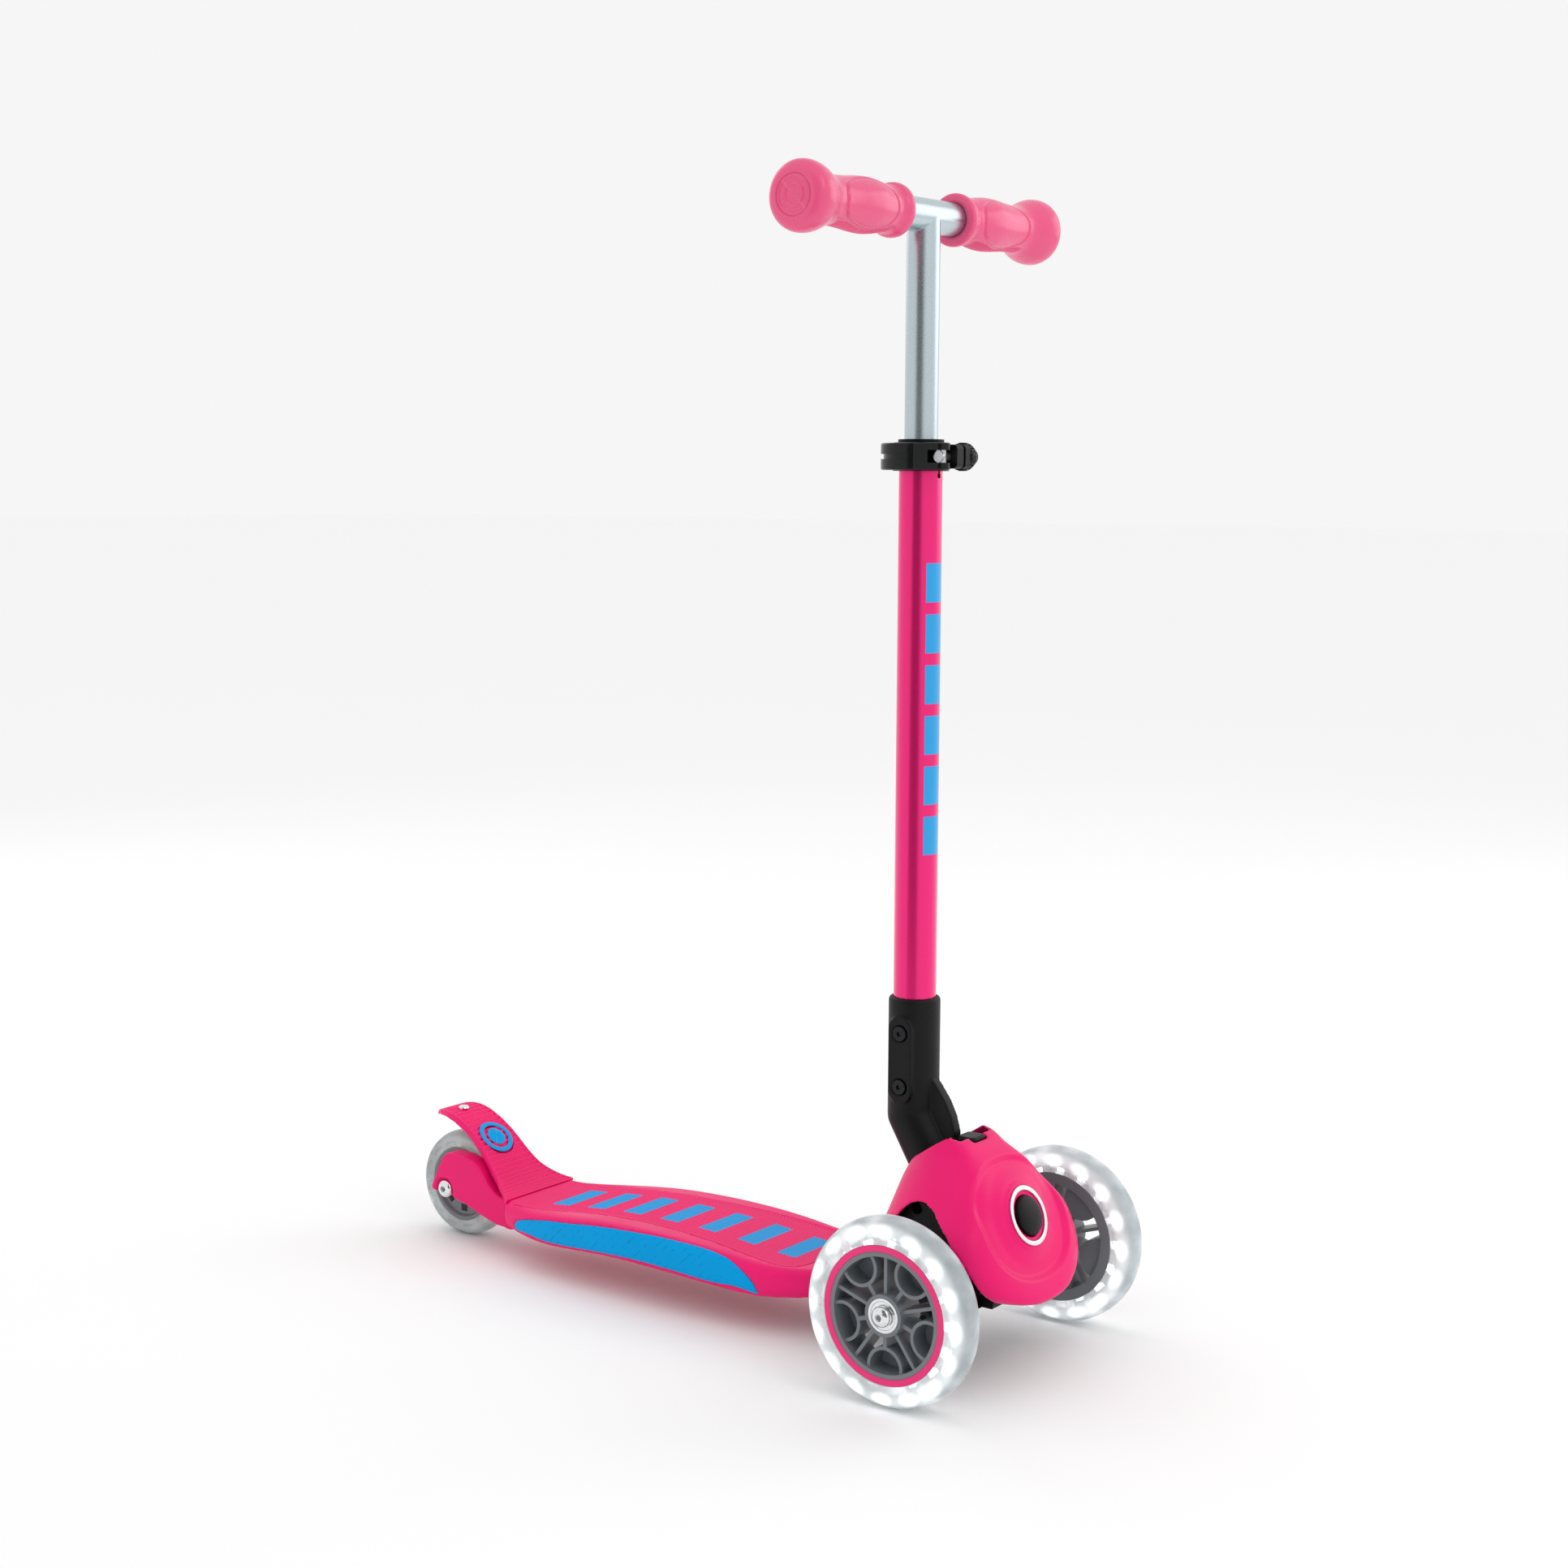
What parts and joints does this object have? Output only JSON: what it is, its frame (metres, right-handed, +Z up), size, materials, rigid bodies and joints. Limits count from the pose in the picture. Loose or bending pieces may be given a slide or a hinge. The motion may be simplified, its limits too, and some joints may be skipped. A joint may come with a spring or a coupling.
{
  "type": "kick scooter",
  "caption": "Child's three-wheeled kick scooter that leans to steer, with a height-adjustable T-bar, a stem that folds over the deck and a rear foot brake.",
  "frame": {"origin": "on the floor, under the middle of the scooter's overall box", "axes": "+X to the rider's left, +Y backwards towards the brake, +Z up"},
  "size_m": [0.2788, 0.5584, 0.7588],
  "materials": {
    "pink_plastic": "satin moulded",
    "pink_pad": "fine ribs",
    "blue_rubber": "satin, fine grip ribs",
    "blue_plastic": "flat inlay",
    "pink_trim": "satin",
    "black_plastic": "fine grain",
    "black_gloss": "gloss",
    "silver_trim": "silver paint",
    "steel": "zinc plated",
    "spring_steel": "drawn wire",
    "bright_steel": "bright plated",
    "black_screw": "blackened",
    "clear_tyre": "clear cast polyurethane",
    "grey_hub": "moulded grey",
    "led_light": "lit white",
    "copper_coil": "enamelled copper winding",
    "magnet": "ground magnet",
    "pink_tube": "metallic lacquer",
    "aluminium_tube": "satin anodised",
    "pink_grip": "soft translucent"
  },
  "bodies": {
    "deck": {"deck_shell": "pink_plastic", "deck_pad": "pink_pad", "side_insert_left": "blue_rubber", "side_insert_right": "blue_rubber", "chassis": "black_plastic", "front_cover": "pink_plastic", "emblem_ring": "silver_trim", "fold_hinge_pin": "steel", "kingpins": "steel", "centring_springs": "spring_steel", "deck_screws": "steel", "lock_button_spring": "spring_steel", "fold_button_spring": "spring_steel", "brake_hinge_pin": "steel", "brake_spring": "spring_steel", "rear_axle_bolt": "bright_steel", "rear_axle_nut": "bright_steel"},
    "brake": {"brake_lever": "pink_plastic", "brake_rivet": "bright_steel", "brake_badge": "blue_plastic"},
    "rear_wheel": {"rear_tyre": "clear_tyre", "rear_hub": "grey_hub", "rear_bearings": "bright_steel", "rear_spacer": "steel"},
    "right_knuckle": {"right_knuckle": "black_plastic", "right_axle_bolt": "bright_steel", "right_magnet_sleeve": "magnet"},
    "left_knuckle": {"left_knuckle": "black_plastic", "left_axle_bolt": "bright_steel", "left_magnet_sleeve": "magnet"},
    "tie_rod": {"tie_rod": "black_screw"},
    "right_wheel": {"right_tyre": "clear_tyre", "right_hub": "grey_hub", "right_rim_ring": "pink_trim", "right_leds": "led_light", "right_coil": "copper_coil", "right_bearings": "bright_steel"},
    "left_wheel": {"left_tyre": "clear_tyre", "left_hub": "grey_hub", "left_rim_ring": "pink_trim", "left_leds": "led_light", "left_coil": "copper_coil", "left_bearings": "bright_steel"},
    "stem": {"stem_bracket": "black_plastic", "bracket_screws": "black_screw", "outer_tube": "pink_tube", "tube_bushing": "black_plastic", "clamp_band": "black_plastic", "clamp_bolt": "steel"},
    "t_bar": {"t_bar": "aluminium_tube", "t_bar_glide": "black_plastic", "grip_left": "pink_grip", "grip_right": "pink_grip"},
    "clamp_lever": {"clamp_lever": "black_gloss"},
    "clamp_nut": {"clamp_nut": "black_plastic"},
    "lock_button": {"lock_button": "black_plastic"},
    "fold_button": {"fold_button": "black_plastic"}
  },
  "joints": [
    {"name": "stem_fold", "type": "hinge", "parent": "deck", "child": "stem", "pos_m": [0, -0.19464, 0.107], "axis": [-1, 0, 0], "range_deg": [0, 82]},
    {"name": "t_bar_height", "type": "slide", "parent": "stem", "child": "t_bar", "axis": [0, 0, 1], "range_m": [-0.1, 0]},
    {"name": "clamp_lever_swing", "type": "hinge", "parent": "stem", "child": "clamp_lever", "pos_m": [-0.015, -0.1896, 0.586], "axis": [0, 0, 1], "range_deg": [0, 150]},
    {"name": "clamp_nut_turn", "type": "hinge", "parent": "stem", "child": "clamp_nut", "pos_m": [0, -0.1896, 0.586], "axis": [1, 0, 0], "continuous": true},
    {"name": "right_steer", "type": "hinge", "parent": "deck", "child": "right_knuckle", "pos_m": [-0.058, -0.2187, 0.0605], "axis": [0, 0.5, 0.866], "range_deg": [-17, 17], "stiffness_Nm_per_rad": 4},
    {"name": "left_steer", "type": "hinge", "parent": "deck", "child": "left_knuckle", "pos_m": [0.058, -0.2187, 0.0605], "axis": [0, 0.5, 0.866], "range_deg": [-17, 17]},
    {"name": "tie_rod_turn", "type": "hinge", "parent": "right_knuckle", "child": "tie_rod", "pos_m": [-0.058, -0.2026, 0.03238], "axis": [0, 0.5, 0.866], "range_deg": [-17, 17]},
    {"name": "right_wheel_spin", "type": "hinge", "parent": "right_knuckle", "child": "right_wheel", "pos_m": [-0.1024, -0.2187, 0.0605], "axis": [1, 0, 0], "continuous": true},
    {"name": "left_wheel_spin", "type": "hinge", "parent": "left_knuckle", "child": "left_wheel", "pos_m": [0.1024, -0.2187, 0.0605], "axis": [1, 0, 0], "continuous": true},
    {"name": "rear_wheel_spin", "type": "hinge", "parent": "deck", "child": "rear_wheel", "pos_m": [0, 0.2392, 0.04], "axis": [1, 0, 0], "continuous": true},
    {"name": "brake_press", "type": "hinge", "parent": "deck", "child": "brake", "pos_m": [0, 0.1733, 0.0375], "axis": [-1, 0, 0], "range_deg": [0, 1.8], "stiffness_Nm_per_rad": 2, "springref_deg": -11.46},
    {"name": "lock_button_press", "type": "slide", "parent": "deck", "child": "lock_button", "axis": [0, 0.9239, -0.3827], "range_m": [0, 0.004], "stiffness_N_per_m": 500, "springref_m": -0.002},
    {"name": "fold_button_press", "type": "slide", "parent": "deck", "child": "fold_button", "axis": [0, 0, -1], "range_m": [0, 0.004], "stiffness_N_per_m": 400, "springref_m": -0.002}
  ],
  "couplings": [
    {"joint": "left_steer", "follows": "right_steer", "ratio": 1},
    {"joint": "tie_rod_turn", "follows": "right_steer", "ratio": -1}
  ]
}
